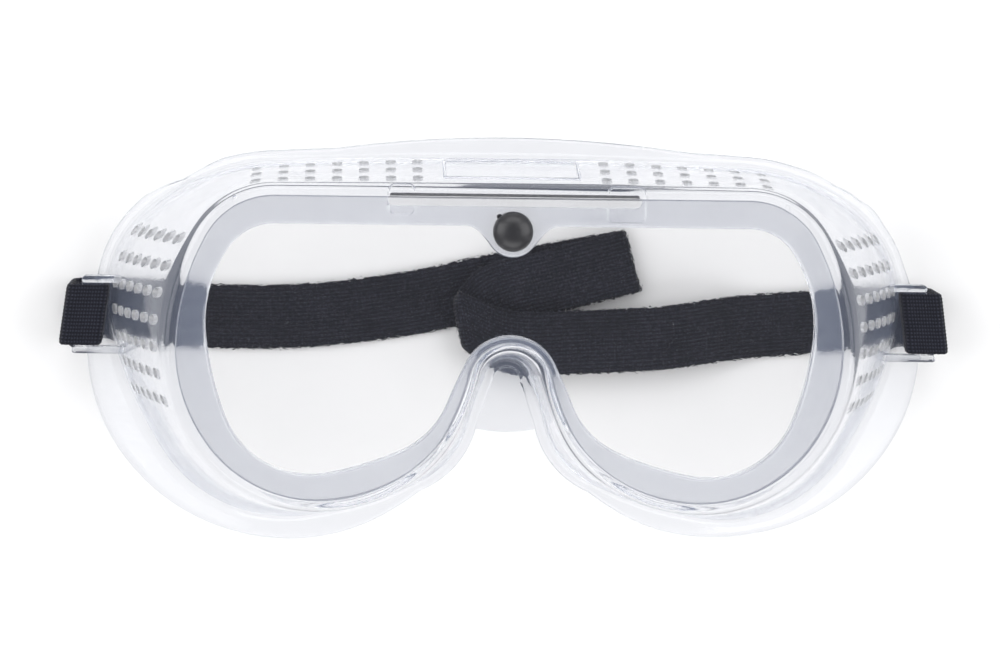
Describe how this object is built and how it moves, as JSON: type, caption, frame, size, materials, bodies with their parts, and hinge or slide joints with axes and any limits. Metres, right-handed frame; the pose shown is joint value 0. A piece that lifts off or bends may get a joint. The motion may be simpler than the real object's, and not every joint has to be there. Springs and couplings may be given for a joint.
{
  "type": "safety goggles",
  "caption": "Clear safety goggles with a soft vented frame, flat lens, press-stud button and a black elastic headband folded under them.",
  "frame": {"origin": "On the bench under the middle of the goggles, which lie on their back: the middle of the bounding box's base.", "axes": "+Z out through the lens, away from the wearer; +Y to the wearer's brow; +X to the right of someone who faces the lens."},
  "size_m": [0.1932, 0.0881, 0.043],
  "materials": {
    "frame": "clear soft PVC, slightly hazy",
    "lens": "clear polished polycarbonate sheet",
    "button": "black moulded plastic, satin",
    "elastic": "black knitted elastic with lengthwise ribs",
    "thread": "black sewing thread"
  },
  "bodies": {
    "goggle_frame": {"front_rim": "frame", "brow_wall": "frame", "left_temple_wall": "frame", "right_temple_wall": "frame", "left_cheek_wall": "frame", "right_cheek_wall": "frame", "nose_bridge": "frame", "nose_web": "frame", "brow_panel": "frame", "left_strap_lug": "frame", "right_strap_lug": "frame", "lens": "lens", "button_retainer": "button", "left_headband_loop": "elastic", "right_headband_loop": "elastic", "left_loop_stitching": "thread", "right_loop_stitching": "thread"},
    "button": {"lens_button": "button"},
    "headband": {"headband_run": "elastic"}
  },
  "joints": [
    {"name": "button_pull", "type": "slide", "parent": "goggle_frame", "child": "button", "axis": [0, 0, 1], "range_m": [0, 0.007]},
    {"name": "headband_swing", "type": "hinge", "parent": "goggle_frame", "child": "headband", "pos_m": [0, 0.0043, 0.0137], "axis": [1, 0, 0], "range_deg": [-15, 15], "stiffness_Nm_per_rad": 0.08}
  ]
}
